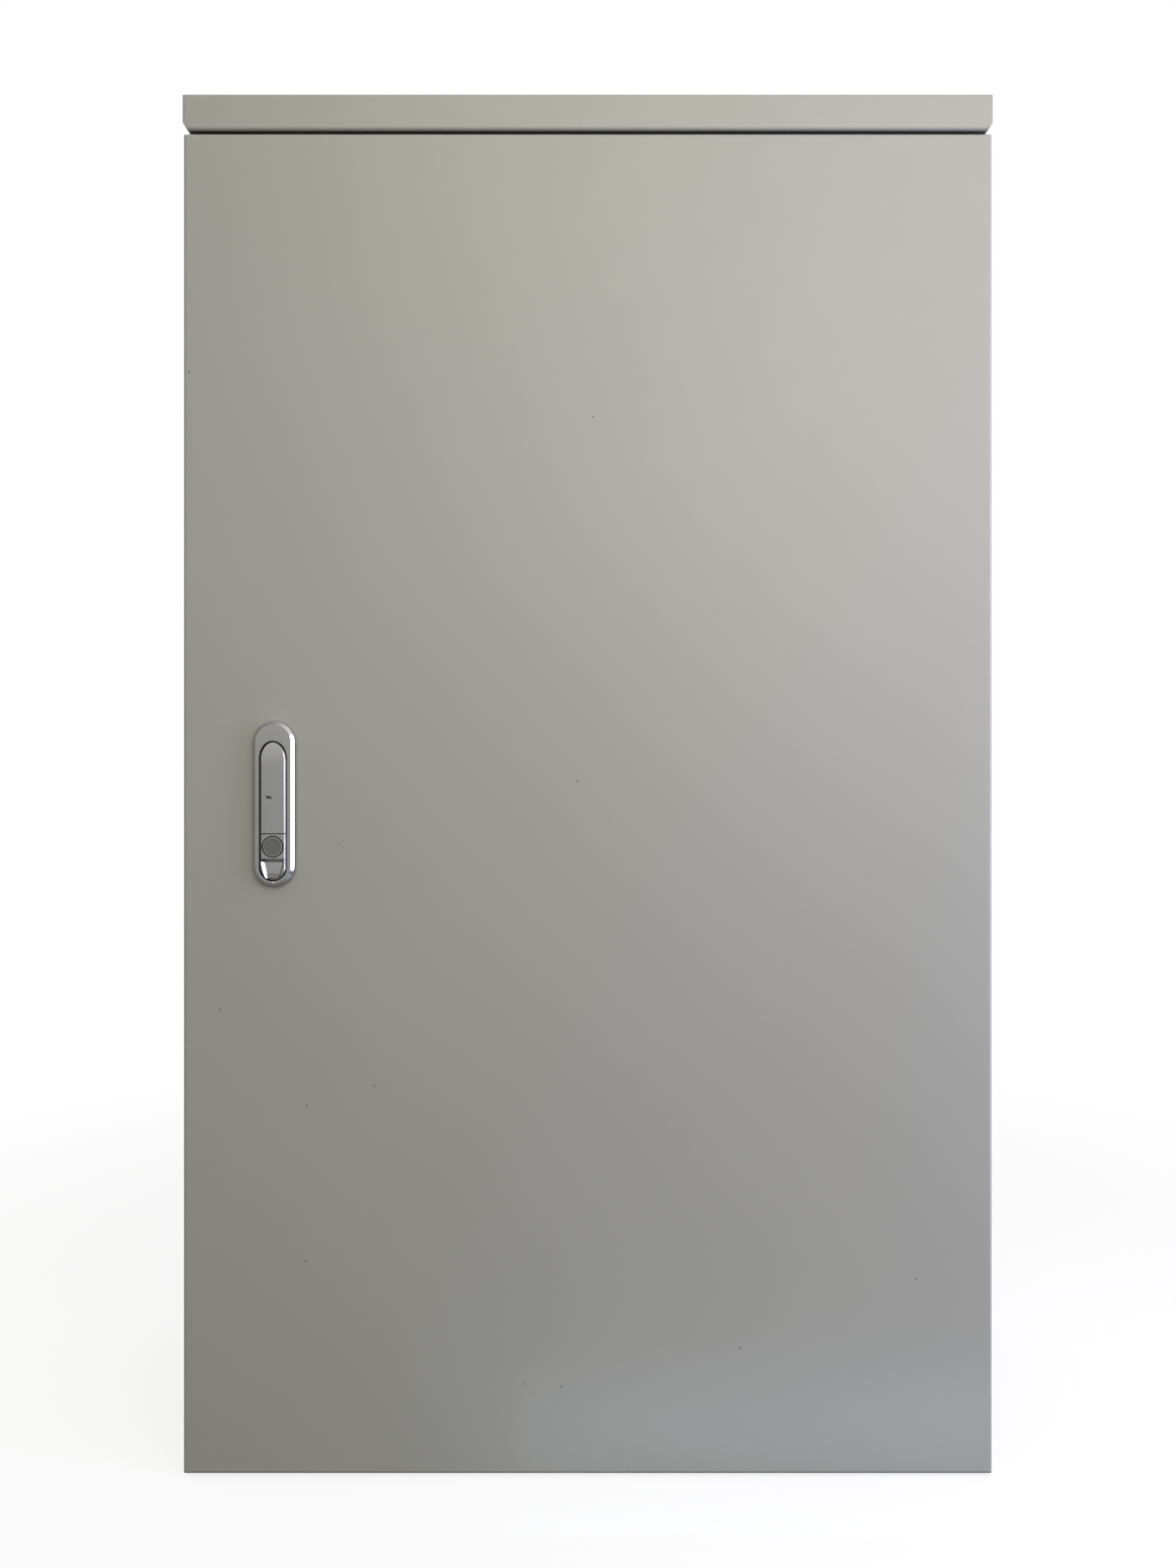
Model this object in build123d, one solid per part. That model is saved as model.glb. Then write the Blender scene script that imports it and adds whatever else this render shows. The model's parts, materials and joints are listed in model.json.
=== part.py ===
"""Wall distribution box with a rain hood, one hinged door and a flush lock.

Sizes are in mm. +Z is up, the door faces -Y, and the origin is the middle of the bounding box's bottom.
"""

import os
from math import hypot, radians, sqrt, tan

from build123d import *

# Cabinet
OVERALL_W = 600.0
OVERALL_H = 1022.5
CABINET_D = 250.0  # from the back to the door's face
SHEET = 1.5
INNER_BEND = 1.0
WELD_GAP = 0.1
WELD_R = 0.8  # welded corners, ground round
FRAME_W = 26.5  # front frame, from the outside to the clear opening
LIP_CORNER_R = 6.0
WALL_HOLE_R = 5.0
WALL_HOLE_EDGE = 38.0
HOOD_H = 27.0
HOOD_LIP_W = 14.0
HOOD_NOTCH_W = 5.0
HOOD_NOTCH_H = 6.6
HOOD_NOTCH_D = 20.0
HOOD_BOLT_INSET = 8.5
HOOD_BOLT_EDGE = 60.0

# Door
DOOR_SIDE_GAP = 1.0
DOOR_BOTTOM_GAP = 2.0
DOOR_TOP_GAP = 2.5
DOOR_TRAY_D = 21.0
DOOR_GAP = 4.0  # behind the door's folded edge
GASKET_W = 14.0
GASKET_T = 8.0
GASKET_FREE = 0.3
STIFFENER_W = 40.0
STIFFENER_FOOT = 15.0
STIFFENER_D = 14.0
STIFFENER_END = 75.0

# Hinges
HINGE_INSET = 7.5  # pivot from the door's right edge
HINGE_STANDOFF = 13.0  # pivot ahead of the frame
HINGE_END = 130.0
HINGE_LEAF_H = 50.0
HINGE_LEAF_T = 2.5
HINGE_ARM_W = 7.0
HINGE_NOTCH_GAP = 3.0
KNUCKLE_R = 4.6
KNUCKLE_H = 20.0
KNUCKLE_GAP = 0.3
HINGE_PIN_R = 2.5
HINGE_PIN_HEAD_R = 4.0
RUNNING_FIT = 0.05

# Lock, measured from its own centre on the door's face
LOCK_EDGE = 68.0  # centre from the door's left edge
LOCK_W = 30.4
LOCK_H = 121.0
LOCK_PROUD = 6.0
LOCK_BEVEL_W = 2.2
LOCK_BEVEL_D = 2.4
RECESS_W = 20.6
RECESS_TOP = 46.5
RECESS_BOTTOM = -57.0
RECESS_ARCH = 13.5
LOCK_WALL = 1.6
LOCK_FLOOR = 2.0
HANDLE_W = 18.8
HANDLE_T = 8.0
HANDLE_RISE = 0.8  # handle's face ahead of the escutcheon's
HANDLE_TOP_GAP = 1.3
HANDLE_NOSE_L = 18.0  # top part of the face that curves back
HANDLE_NOSE_R = 270.0
HANDLE_EDGE_R = 1.4
HANDLE_PIN_DROP = 9.0
HANDLE_PIN_R = 1.6
HANDLE_SWEEP_GAP = 0.6
SPLIT_GAP = 0.8
BLOCK_TOP = -22.35
BLOCK_H = 18.0
CYLINDER_DROP = 9.05  # cylinder's axis below the block's top
CYLINDER_R = 6.3
BARREL_R = 7.1
BARREL_RING_W = 1.0  # open ring round the barrel in the block's face
BARREL_RING_D = 3.0
PLUG_R = 4.0
BUTTON_GAP = 0.5
BUTTON_TRAVEL = 2.5
BUTTON_SPRING_ROOM = 5.0  # left behind the button when it is pressed
BUTTON_GROOVE_H = 1.9
BUTTON_GROOVE_D = 4.5
BUTTON_SCOOP_D = 2.2  # at the groove
BUTTON_SCOOP_FOOT = 1.7  # depth at the ribs
BUTTON_SCOOP_EDGE = 0.6
BUTTON_SCOOP_FOOT_W = 11.2
BUTTON_SCOOP_SLOPE = 42.0  # of its sides, from straight in
BUTTON_RIBS = 4
BUTTON_RIB_PITCH = 1.0
BUTTON_RIB_W = 8.0
BUTTON_RIB_H = 0.4
BUTTON_POST_R = 2.2
TONGUE_W = 16.0
TONGUE_T = 3.0
TONGUE_REACH = 55.0
TONGUE_GAP = 0.8
TAIL_SQUARE = 6.0
CLAMP_T = 2.0
CLAMP_H = 14.0
BARREL_NUT_FLATS = 21.0
BARREL_NUT_T = 5.0
SPRING_T = 0.5
SPRING_W = 4.0
HANDLE_SPRING_L = 16.0
BUTTON_SPRING_L = 12.4
CYLINDER_FACE_T = 2.0
CYLINDER_SINK = 0.4
SHUTTER_T = 0.6
KEYWAY_W = 1.2
KEYWAY_H = 6.4

# Inside
PLATE_W = 500.0
PLATE_H = 880.0
PLATE_T = 2.0
PLATE_STANDOFF = 25.0
PLATE_POST_EDGE = 20.0
GLAND_W = 300.0
GLAND_D = 100.0
GLAND_RIM = 20.0
GLAND_CORNER_R = 10.0
RAIL_L = 380.0
RAIL_H = 35.0
RAIL_CROWN = 25.0
RAIL_D = 7.5
RAIL_T = 1.0
RAIL_SLOT_L = 15.0
RAIL_SLOT_W = 6.2
RAIL_SLOT_PITCH = 25.0
RAIL_DROP = 390.0  # rail's middle below the plate's top edge
MAIN_DROP = 175.0
MAIN_W = 90.0
MAIN_H = 150.0
MAIN_D = 76.0
MAIN_SHOULDER_D = 58.0
MAIN_NOSE_H = 78.0
BRANCH_COUNT = 3
BRANCH_W = 53.4
BRANCH_GAP = 0.4
BRANCH_H = 82.0
BRANCH_D = 66.0
BRANCH_SHOULDER_D = 44.0
BRANCH_NOSE_H = 45.0
POLES = 3
CASE_EDGE_R = 1.5
CASE_SEAM = 0.8
TOGGLE_SWING = 44.0
BAR_L = 190.0
BAR_H = 12.0
BAR_T = 8.0
BAR_RISE = 245.0  # bars' middle above the plate's bottom edge
BAR_X = 115.0
BAR_POST_R = 10.0
BAR_POST_H = 25.0
BAR_SCREWS = 6
GLAND_GASKET_T = 2.0
TERMINAL_RECESS = 3.0
TOGGLE_GAP = 0.5
LEVER_TIP_R = 1.5
MAIN_SCREW_EDGE = 7.0
RAIL_SCREW_EDGE = 20.0
SCREW_FIT = 0.2

# Fasteners; the head and nut sizes are per thread radius
M4 = 2.0
M5 = 2.5
M6 = 3.0
M8 = 4.0
NUT_FLATS = 3.4  # across flats
NUT_HEIGHT = 1.6
SCREW_HEAD_R = 1.75
SCREW_CROSS_L = 1.1  # half length of each arm of the cross recess
SCREW_CROSS_W = 0.2
SCREW_CROSS_D = 0.6
STUD_END = 1.5  # thread left past a nut
EARTH_STUD_L = 22.0
EARTH_STUD_Z = 150.0
DOOR_STUD_L = 16.0

# Worked out from the above
BEND = SHEET + INNER_BEND
HALF_W = OVERALL_W / 2
BODY_H = OVERALL_H - HOOD_H
HANDLE_PROUD = LOCK_PROUD + HANDLE_RISE
BACK_Y = (CABINET_D + HANDLE_PROUD) / 2
DOOR_Y = BACK_Y - CABINET_D
FRAME_Y = DOOR_Y + DOOR_TRAY_D + DOOR_GAP
INNER_BACK_Y = BACK_Y - SHEET
MID_Y = (FRAME_Y + BACK_Y) / 2
DOOR_W = OVERALL_W - 2 * DOOR_SIDE_GAP
DOOR_Z0 = DOOR_BOTTOM_GAP
DOOR_Z1 = BODY_H - DOOR_TOP_GAP
DOOR_MID_Z = (DOOR_Z0 + DOOR_Z1) / 2
LIP_D = DOOR_GAP + DOOR_TRAY_D - SHEET - GASKET_T - GASKET_FREE
OPENING_W = OVERALL_W - 2 * FRAME_W
OPENING_H = BODY_H - 2 * FRAME_W
PIVOT_X = DOOR_W / 2 - HINGE_INSET
PIVOT_Y = FRAME_Y - HINGE_STANDOFF
HINGE_Z = (DOOR_Z0 + HINGE_END, DOOR_MID_Z, DOOR_Z1 - HINGE_END)
LOCK_X = LOCK_EDGE - DOOR_W / 2
HANDLE_TOP = RECESS_TOP - HANDLE_TOP_GAP
HANDLE_BOTTOM = BLOCK_TOP + SPLIT_GAP
HANDLE_PIN_Y = HANDLE_T / 2 - HANDLE_PROUD
HANDLE_PIN_Z = HANDLE_TOP - HANDLE_PIN_DROP
RECESS_D = HANDLE_PIN_Y + hypot(HANDLE_PIN_DROP, HANDLE_T / 2) + HANDLE_SWEEP_GAP
TUB_D = RECESS_D + LOCK_FLOOR
TUB_TOP = LOCK_H / 2 - LOCK_BEVEL_W - LOCK_WALL
TUB_BOTTOM = RECESS_BOTTOM - LOCK_WALL
TUB_W = RECESS_W + 2 * LOCK_WALL
BLOCK_BOTTOM = BLOCK_TOP - BLOCK_H
CYLINDER_Z = BLOCK_TOP - CYLINDER_DROP
BUTTON_TOP = BLOCK_BOTTOM - BUTTON_GAP
BUTTON_BOTTOM = RECESS_BOTTOM + (RECESS_W - HANDLE_W) / 2
BUTTON_BACK = RECESS_D - BUTTON_TRAVEL - BUTTON_SPRING_ROOM
BUTTON_POST_Z = BUTTON_TOP - 2 * BUTTON_POST_R
TONGUE_Y = DOOR_TRAY_D + DOOR_GAP + SHEET + TONGUE_GAP
BARREL_END = TONGUE_Y - KNUCKLE_GAP
CLAMP_SCREW_Z = (RECESS_TOP + LOCK_WALL + TUB_TOP) / 2
PLATE_BACK_Y = INNER_BACK_Y - PLATE_STANDOFF
PLATE_Y = PLATE_BACK_Y - PLATE_T
PLATE_Z = BODY_H / 2
RAIL_Z = PLATE_Z + PLATE_H / 2 - RAIL_DROP
MAIN_Z = PLATE_Z + PLATE_H / 2 - MAIN_DROP
BAR_Z = PLATE_Z - PLATE_H / 2 + BAR_RISE
RAIL_FACE_Y = PLATE_Y - RAIL_D
BRANCH_BACK_Y = RAIL_FACE_Y + 2 * RAIL_T
BRANCH_X = [(i - (BRANCH_COUNT - 1) / 2) * (BRANCH_W + BRANCH_GAP) for i in range(BRANCH_COUNT)]
MAIN_TOGGLE = {"drum_r": 11.0, "set_back": 8.0, "lever": 24.0, "lever_t": 6.0, "width": 24.0}
BRANCH_TOGGLE = {"drum_r": 7.0, "set_back": 5.0, "lever": 15.0, "lever_t": 4.0, "width": 40.0}

NEAR = 0.01  # how close an edge lies to a plane it is picked by
FROM_BASE = (Align.CENTER, Align.CENTER, Align.MIN)
TURN = {"x": Rot(0, 90, 0), "y": Rot(-90, 0, 0), "z": Rot(0, 0, 0)}
LOCK_PLACE = Pos(LOCK_X, DOOR_Y, DOOR_MID_Z)
CORNERS = [(-1, -1), (-1, 1), (1, -1), (1, 1)]


def block(x0, x1, y0, y1, z0, z1):
    return Pos(x0, y0, z0) * Box(x1 - x0, y1 - y0, z1 - z0, align=(Align.MIN,) * 3)


def rod(axis, radius, start, length):
    return Pos(*start) * TURN[axis] * Cylinder(radius, length, align=FROM_BASE)


def hexagon(axis, flats, start, length):
    return Pos(*start) * TURN[axis] * extrude(RegularPolygon(flats / sqrt(3), 6), length)


def nut(axis, thread, start):
    """A hexagon nut for a thread of that radius."""
    length = NUT_HEIGHT * thread
    return hexagon(axis, NUT_FLATS * thread, start, length) - rod(axis, thread + RUNNING_FIT, start, length)


def screw(thread, x, seat, z, length):
    """A cross-recessed screw from the front, its head on the face at seat."""
    face = seat - thread
    head = rod("y", SCREW_HEAD_R * thread, (x, face, z), thread)
    long = SCREW_CROSS_L * thread
    short = SCREW_CROSS_W * thread
    floor = face + SCREW_CROSS_D * thread
    for reach_x, reach_z in ((long, short), (short, long)):
        head -= block(x - reach_x, x + reach_x, face, floor, z - reach_z, z + reach_z)
    return head + rod("y", thread, (x, seat, z), length)


def along_x(sketch, x0, x1):
    """A profile drawn in Y and Z."""
    return extrude(Plane.YZ.offset(x0) * sketch, x1 - x0)


def along_y(sketch, y0, y1):
    """A profile drawn in X and Z."""
    return extrude(Plane.XZ.offset(-y1) * sketch, y1 - y0)


def along_z(sketch, z0, z1):
    """A profile drawn in X and Y."""
    return extrude(Plane.XY.offset(z0) * sketch, z1 - z0)


def front_edges(part):
    return part.faces().sort_by(Axis.Y)[0].edges()


def front_folded(width, y0, y1, z0, z1, radius):
    """A box whose front edges are rounded as folded sheet."""
    return fillet(front_edges(block(-width / 2, width / 2, y0, y1, z0, z1)), radius)


def weld_rounded(box):
    return fillet(box.edges().filter_by(Axis.Y), WELD_R)


def hood_bolt_places():
    ys = (FRAME_Y + HOOD_BOLT_EDGE, BACK_Y - HOOD_BOLT_EDGE)
    return [(side * (HALF_W - HOOD_BOLT_INSET), y) for side in (-1, 1) for y in ys]


def gland_stud_places():
    reach_x = (GLAND_W + GLAND_RIM) / 2
    reach_y = (GLAND_D + GLAND_RIM) / 2
    return [(x, MID_Y + side * reach_y) for x in (-reach_x, 0, reach_x) for side in (-1, 1)]


def plate_post_places():
    reach_x = PLATE_W / 2 - PLATE_POST_EDGE
    reach_z = PLATE_H / 2 - PLATE_POST_EDGE
    return [(i * reach_x, PLATE_Z + k * reach_z) for i, k in CORNERS]


def wall_hole_places():
    reach_x = HALF_W - WALL_HOLE_EDGE
    reach_z = BODY_H / 2 - WALL_HOLE_EDGE
    return [(i * reach_x, BODY_H / 2 + k * reach_z) for i, k in CORNERS]


def lip_edges(part, y, grow):
    """The edges round the front opening, grown by that much, in the plane at y."""
    reach_x = OPENING_W / 2 + grow + NEAR
    reach_z = OPENING_H / 2 + grow + NEAR
    edges = part.edges().filter_by_position(Axis.Y, y - NEAR, y + NEAR)
    edges = edges.filter_by_position(Axis.X, -reach_x, reach_x)
    return edges.filter_by_position(Axis.Z, BODY_H / 2 - reach_z, BODY_H / 2 + reach_z)


def body_wrap():
    """Four folded walls with a front frame whose inner edge turns forward as a rain lip."""
    wrap = weld_rounded(front_folded(OVERALL_W, FRAME_Y, BACK_Y, 0, BODY_H, BEND))
    wrap -= front_folded(
        OVERALL_W - 2 * SHEET, FRAME_Y + SHEET, BACK_Y + SHEET, SHEET, BODY_H - SHEET, INNER_BEND
    )
    opening = Pos(0, BODY_H / 2) * RectangleRounded(OPENING_W, OPENING_H, LIP_CORNER_R)
    lip = Pos(0, BODY_H / 2) * RectangleRounded(
        OPENING_W + 2 * SHEET, OPENING_H + 2 * SHEET, LIP_CORNER_R + SHEET
    )
    wrap += along_y(lip, FRAME_Y - LIP_D, FRAME_Y + SHEET)
    wrap -= along_y(opening, FRAME_Y - LIP_D, FRAME_Y + SHEET)
    wrap = fillet(lip_edges(wrap, FRAME_Y, SHEET), INNER_BEND)
    wrap = fillet(lip_edges(wrap, FRAME_Y + SHEET, 0), BEND)
    for x, y in hood_bolt_places():
        wrap -= rod("z", M6 + SCREW_FIT, (x, y, BODY_H - SHEET), SHEET)
    cable_way = Pos(0, MID_Y) * RectangleRounded(GLAND_W, GLAND_D, GLAND_CORNER_R)
    return wrap - along_z(cable_way, 0, SHEET)


def back_panel():
    inset = SHEET + WELD_GAP
    panel = block(-HALF_W + inset, HALF_W - inset, INNER_BACK_Y, BACK_Y, inset, BODY_H - inset)
    panel = fillet(panel.edges().filter_by(Axis.Y), INNER_BEND)
    for x, z in wall_hole_places():
        panel -= rod("y", WALL_HOLE_R, (x, INNER_BACK_Y, z), SHEET)
    return panel


def rain_hood():
    """A shallow folded lid whose lower edges turn inward, with the front lower corners cut away."""
    outer = block(-HALF_W, HALF_W, DOOR_Y, BACK_Y, BODY_H, OVERALL_H)
    ends = outer.faces().sort_by(Axis.Y)
    outer = weld_rounded(fillet(ends[0].edges() + ends[-1].edges(), BEND))
    inner = block(
        SHEET - HALF_W, HALF_W - SHEET, DOOR_Y + SHEET, INNER_BACK_Y, BODY_H + SHEET, OVERALL_H - SHEET
    )
    hood = outer - fillet(inner.edges(), INNER_BEND)
    reach = HALF_W - HOOD_LIP_W
    hood -= block(-reach, reach, DOOR_Y + HOOD_LIP_W, BACK_Y - HOOD_LIP_W, BODY_H, BODY_H + SHEET)
    for side in (-1, 1):
        notch = Polygon(
            (side * HALF_W, BODY_H),
            (side * (HALF_W - HOOD_NOTCH_W), BODY_H),
            (side * HALF_W, BODY_H + HOOD_NOTCH_H),
            align=None,
        )
        hood -= along_y(notch, DOOR_Y, DOOR_Y + HOOD_NOTCH_D)
    for x, y in hood_bolt_places():
        hood -= rod("z", M6 + SCREW_FIT, (x, y, BODY_H), SHEET)
    return hood


def hood_bolts():
    under = BODY_H - SHEET
    shank = 2 * SHEET + (NUT_HEIGHT + STUD_END) * M6
    return [
        hexagon("z", NUT_FLATS * M6, (x, y, under - M6), M6) + rod("z", M6, (x, y, under), shank)
        for x, y in hood_bolt_places()
    ]


def hood_nuts():
    return [nut("z", M6, (x, y, BODY_H + SHEET)) for x, y in hood_bolt_places()]


def mounting_plate():
    plate = block(
        -PLATE_W / 2, PLATE_W / 2, PLATE_Y, PLATE_BACK_Y, PLATE_Z - PLATE_H / 2, PLATE_Z + PLATE_H / 2
    )
    holes = [(M8, x, z) for x, z in plate_post_places()]
    holes += [(M4, x, z) for x, z in main_screw_places()]
    holes += [(M5, x, RAIL_Z) for x in rail_screw_places()]
    for radius, x, z in holes:
        plate -= rod("y", radius + SCREW_FIT, (x, PLATE_Y, z), PLATE_T)
    return plate


def plate_posts():
    thread = PLATE_T + (NUT_HEIGHT + STUD_END) * M8
    return [
        rod("y", SCREW_HEAD_R * M8, (x, PLATE_BACK_Y, z), PLATE_STANDOFF)
        + rod("y", M8, (x, PLATE_BACK_Y - thread, z), thread)
        for x, z in plate_post_places()
    ]


def plate_nuts():
    return [nut("y", M8, (x, PLATE_Y - NUT_HEIGHT * M8, z)) for x, z in plate_post_places()]


def gland_layer(z0, thickness, cut):
    """A layer on the floor round the cable opening. The gasket is cut out and the plate is not."""
    outline = RectangleRounded(GLAND_W + 2 * GLAND_RIM, GLAND_D + 2 * GLAND_RIM, GLAND_CORNER_R)
    if cut:
        outline -= RectangleRounded(GLAND_W, GLAND_D, GLAND_CORNER_R)
    layer = along_z(Pos(0, MID_Y) * outline, z0, z0 + thickness)
    for x, y in gland_stud_places():
        layer -= rod("z", M5 + SCREW_FIT, (x, y, z0), thickness)
    return layer


def hinge_frame_leaf(z):
    """A plate on the frame with one knuckle between the door leaf's two."""
    left = HALF_W - FRAME_W + SHEET + 2
    half = HINGE_LEAF_H / 2
    right = PIVOT_X + HINGE_ARM_W / 2
    leaf = block(left, right, FRAME_Y - HINGE_LEAF_T, FRAME_Y, z - half, z + half)
    low = z - KNUCKLE_H / 2
    leaf += block(right - HINGE_ARM_W, right, PIVOT_Y, FRAME_Y, low, low + KNUCKLE_H)
    leaf += rod("z", KNUCKLE_R, (PIVOT_X, PIVOT_Y, low), KNUCKLE_H)
    return leaf - rod("z", HINGE_PIN_R + RUNNING_FIT, (PIVOT_X, PIVOT_Y, low), KNUCKLE_H)


def hinge_door_leaf(z):
    """A plate welded behind the door's face with two knuckles."""
    half = HINGE_LEAF_H / 2
    inner = DOOR_Y + SHEET
    arm_x = PIVOT_X - HINGE_ARM_W / 2
    left = PIVOT_X - 2 * KNUCKLE_R
    leaf = block(left, PIVOT_X + KNUCKLE_R, inner, inner + HINGE_LEAF_T, z - half, z + half)
    height = half - KNUCKLE_H / 2 - KNUCKLE_GAP
    for low in (z - half, z + half - height):
        leaf += block(arm_x, arm_x + HINGE_ARM_W, inner, PIVOT_Y, low, low + height)
        leaf += rod("z", KNUCKLE_R, (PIVOT_X, PIVOT_Y, low), height)
    return leaf - rod("z", HINGE_PIN_R + RUNNING_FIT, (PIVOT_X, PIVOT_Y, z - half), HINGE_LEAF_H)


def hinge_pin(z):
    half = HINGE_LEAF_H / 2
    pin = rod("z", HINGE_PIN_R, (PIVOT_X, PIVOT_Y, z - half - HINGE_LEAF_T), HINGE_LEAF_H + HINGE_LEAF_T)
    return pin + rod("z", HINGE_PIN_HEAD_R, (PIVOT_X, PIVOT_Y, z + half), HINGE_LEAF_T)


def door_panel():
    """A folded tray with a cut-out for the lock and notches in its right edge for the hinges."""
    back = DOOR_Y + DOOR_TRAY_D
    door = weld_rounded(front_folded(DOOR_W, DOOR_Y, back, DOOR_Z0, DOOR_Z1, BEND))
    door -= front_folded(
        DOOR_W - 2 * SHEET, DOOR_Y + SHEET, back + SHEET, DOOR_Z0 + SHEET, DOOR_Z1 - SHEET, INNER_BEND
    )
    half = HINGE_LEAF_H / 2 + HINGE_NOTCH_GAP
    for z in HINGE_Z:
        door -= block(DOOR_W / 2 - BEND, DOOR_W / 2, DOOR_Y + BEND, back, z - half, z + half)
    return door - LOCK_PLACE * along_y(tub_outline(SCREW_FIT), 0, SHEET)


def door_gasket():
    """A foam strip on the door's inside, facing the rain lip."""
    middle_w = OPENING_W + SHEET
    middle_h = OPENING_H + SHEET
    strip = RectangleRounded(middle_w + GASKET_W, middle_h + GASKET_W, LIP_CORNER_R)
    strip -= RectangleRounded(middle_w - GASKET_W, middle_h - GASKET_W, LIP_CORNER_R)
    return along_y(Pos(0, BODY_H / 2) * strip, DOOR_Y + SHEET, DOOR_Y + SHEET + GASKET_T)


def door_stiffener():
    """A hat section welded upright behind the door's face."""
    y0 = DOOR_Y + SHEET
    half = STIFFENER_W / 2
    hat = Pos(0, y0) * Rectangle(STIFFENER_W + 2 * STIFFENER_FOOT, SHEET, align=(Align.CENTER, Align.MIN))
    hat += Pos(0, y0) * Rectangle(STIFFENER_W, STIFFENER_D, align=(Align.CENTER, Align.MIN))
    hollow = Rectangle(STIFFENER_W - 2 * SHEET, STIFFENER_D - SHEET, align=(Align.CENTER, Align.MIN))
    hat = along_z(hat - Pos(0, y0) * hollow, DOOR_Z0 + STIFFENER_END, DOOR_Z1 - STIFFENER_END)
    folds = [
        edge
        for edge in hat.edges().filter_by(Axis.Z)
        if edge.center().Y > y0 + STIFFENER_D - SHEET / 2 and abs(edge.center().X) > half - SHEET / 2
    ]
    return fillet(folds, INNER_BEND)


def upright_slot(width, bottom, top):
    """A slot outline with round ends."""
    return Pos(0, (top + bottom) / 2) * SlotOverall(top - bottom, width, rotation=90)


def tub_outline(clearance):
    return upright_slot(TUB_W + 2 * clearance, TUB_BOTTOM - clearance, TUB_TOP + clearance)


def arched(width, bottom, top):
    """A flat-bottomed outline with the elliptic top that the handle and its recess share."""
    spring_line = top - RECESS_ARCH
    straight = Pos(0, bottom) * Rectangle(width, spring_line - bottom, align=(Align.CENTER, Align.MIN))
    return straight + Pos(0, spring_line) * Ellipse(width / 2, RECESS_ARCH)


def lock_escutcheon():
    """The cast housing: a bevelled rim on the door, a recess for the handle and a block for the cylinder."""
    rim = along_y(upright_slot(LOCK_W, -LOCK_H / 2, LOCK_H / 2), -LOCK_PROUD, 0)
    rim = chamfer(front_edges(rim), LOCK_BEVEL_W, LOCK_BEVEL_D, reference=rim.faces().sort_by(Axis.Y)[0])
    half = RECESS_W / 2
    recess = arched(RECESS_W, RECESS_BOTTOM + half, RECESS_TOP)
    recess += Pos(0, RECESS_BOTTOM + half) * Circle(half)
    cast = rim + along_y(tub_outline(0), 0, TUB_D) - along_y(recess, -LOCK_PROUD, RECESS_D)
    island = block(-HANDLE_W / 2, HANDLE_W / 2, -HANDLE_PROUD, RECESS_D, BLOCK_BOTTOM, BLOCK_TOP)
    island = fillet(front_edges(island).filter_by(Axis.Z), HANDLE_EDGE_R)
    cast += island
    cast -= rod("y", BARREL_R + RUNNING_FIT, (0, -HANDLE_PROUD, CYLINDER_Z), HANDLE_PROUD + TUB_D)
    cast -= rod("y", BARREL_R + BARREL_RING_W, (0, -HANDLE_PROUD, CYLINDER_Z), BARREL_RING_D)
    cast -= rod("y", BUTTON_POST_R + 2 * RUNNING_FIT, (0, RECESS_D, BUTTON_POST_Z), LOCK_FLOOR)
    cast -= rod("y", M4 + RUNNING_FIT, (0, LOCK_FLOOR, CLAMP_SCREW_Z), RECESS_D)
    reach = half + LOCK_WALL + RUNNING_FIT
    return cast - rod("x", HANDLE_PIN_R + RUNNING_FIT, (-reach, HANDLE_PIN_Y, HANDLE_PIN_Z), 2 * reach)


def lock_handle():
    outline = arched(HANDLE_W, HANDLE_BOTTOM, HANDLE_TOP)
    grip = along_y(outline, -HANDLE_PROUD, HANDLE_T - HANDLE_PROUD)
    rounded = [edge for edge in front_edges(grip) if edge.center().Z > HANDLE_BOTTOM + HANDLE_EDGE_R]
    grip = fillet(rounded, HANDLE_EDGE_R)
    half = HANDLE_W / 2
    nose_z = HANDLE_TOP - HANDLE_NOSE_L
    nose = block(-half, half, -HANDLE_PROUD, HANDLE_T / 2 - HANDLE_PROUD, nose_z, HANDLE_TOP)
    grip -= nose - rod("x", HANDLE_NOSE_R, (-half, HANDLE_NOSE_R - HANDLE_PROUD, nose_z), HANDLE_W)
    toe = grip.faces().sort_by(Axis.Z)[0].edges().sort_by(Axis.Y)[-1]
    grip = chamfer(toe, HANDLE_T / 2, HANDLE_T)
    return grip - rod("x", HANDLE_PIN_R + RUNNING_FIT, (-HANDLE_W, HANDLE_PIN_Y, HANDLE_PIN_Z), 2 * HANDLE_W)


def handle_pin():
    reach = RECESS_W / 2 + LOCK_WALL
    return rod("x", HANDLE_PIN_R, (-reach, HANDLE_PIN_Y, HANDLE_PIN_Z), 2 * reach)


def thumb_scoop(top, foot):
    """The space cut from the button's face: wide at the top and narrow at the foot, with sloping sides."""
    wide = HANDLE_W / 2 - BUTTON_SCOOP_EDGE
    lean = (wide - BUTTON_SCOOP_FOOT_W / 2) / (top - foot)
    run = 2 * BUTTON_SCOOP_D * tan(radians(BUTTON_SCOOP_SLOPE))  # takes the sloping ends past the cut
    narrow = wide - lean * (top - foot + run)
    outline = Polygon(
        (-wide, top + run),
        (-wide, top),
        (-narrow, foot - run),
        (narrow, foot - run),
        (wide, top),
        (wide, top + run),
        align=None,
    )
    front = -HANDLE_PROUD
    wedge = Polygon(
        (front, foot),
        (front + BUTTON_SCOOP_FOOT, foot),
        (front + BUTTON_SCOOP_D, top),
        (front, top),
        align=None,
    )
    tapered = extrude(Plane.XZ.offset(-front) * outline, -BUTTON_SCOOP_D, taper=BUTTON_SCOOP_SLOPE)
    return tapered & along_x(wedge, -wide, wide)


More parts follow.
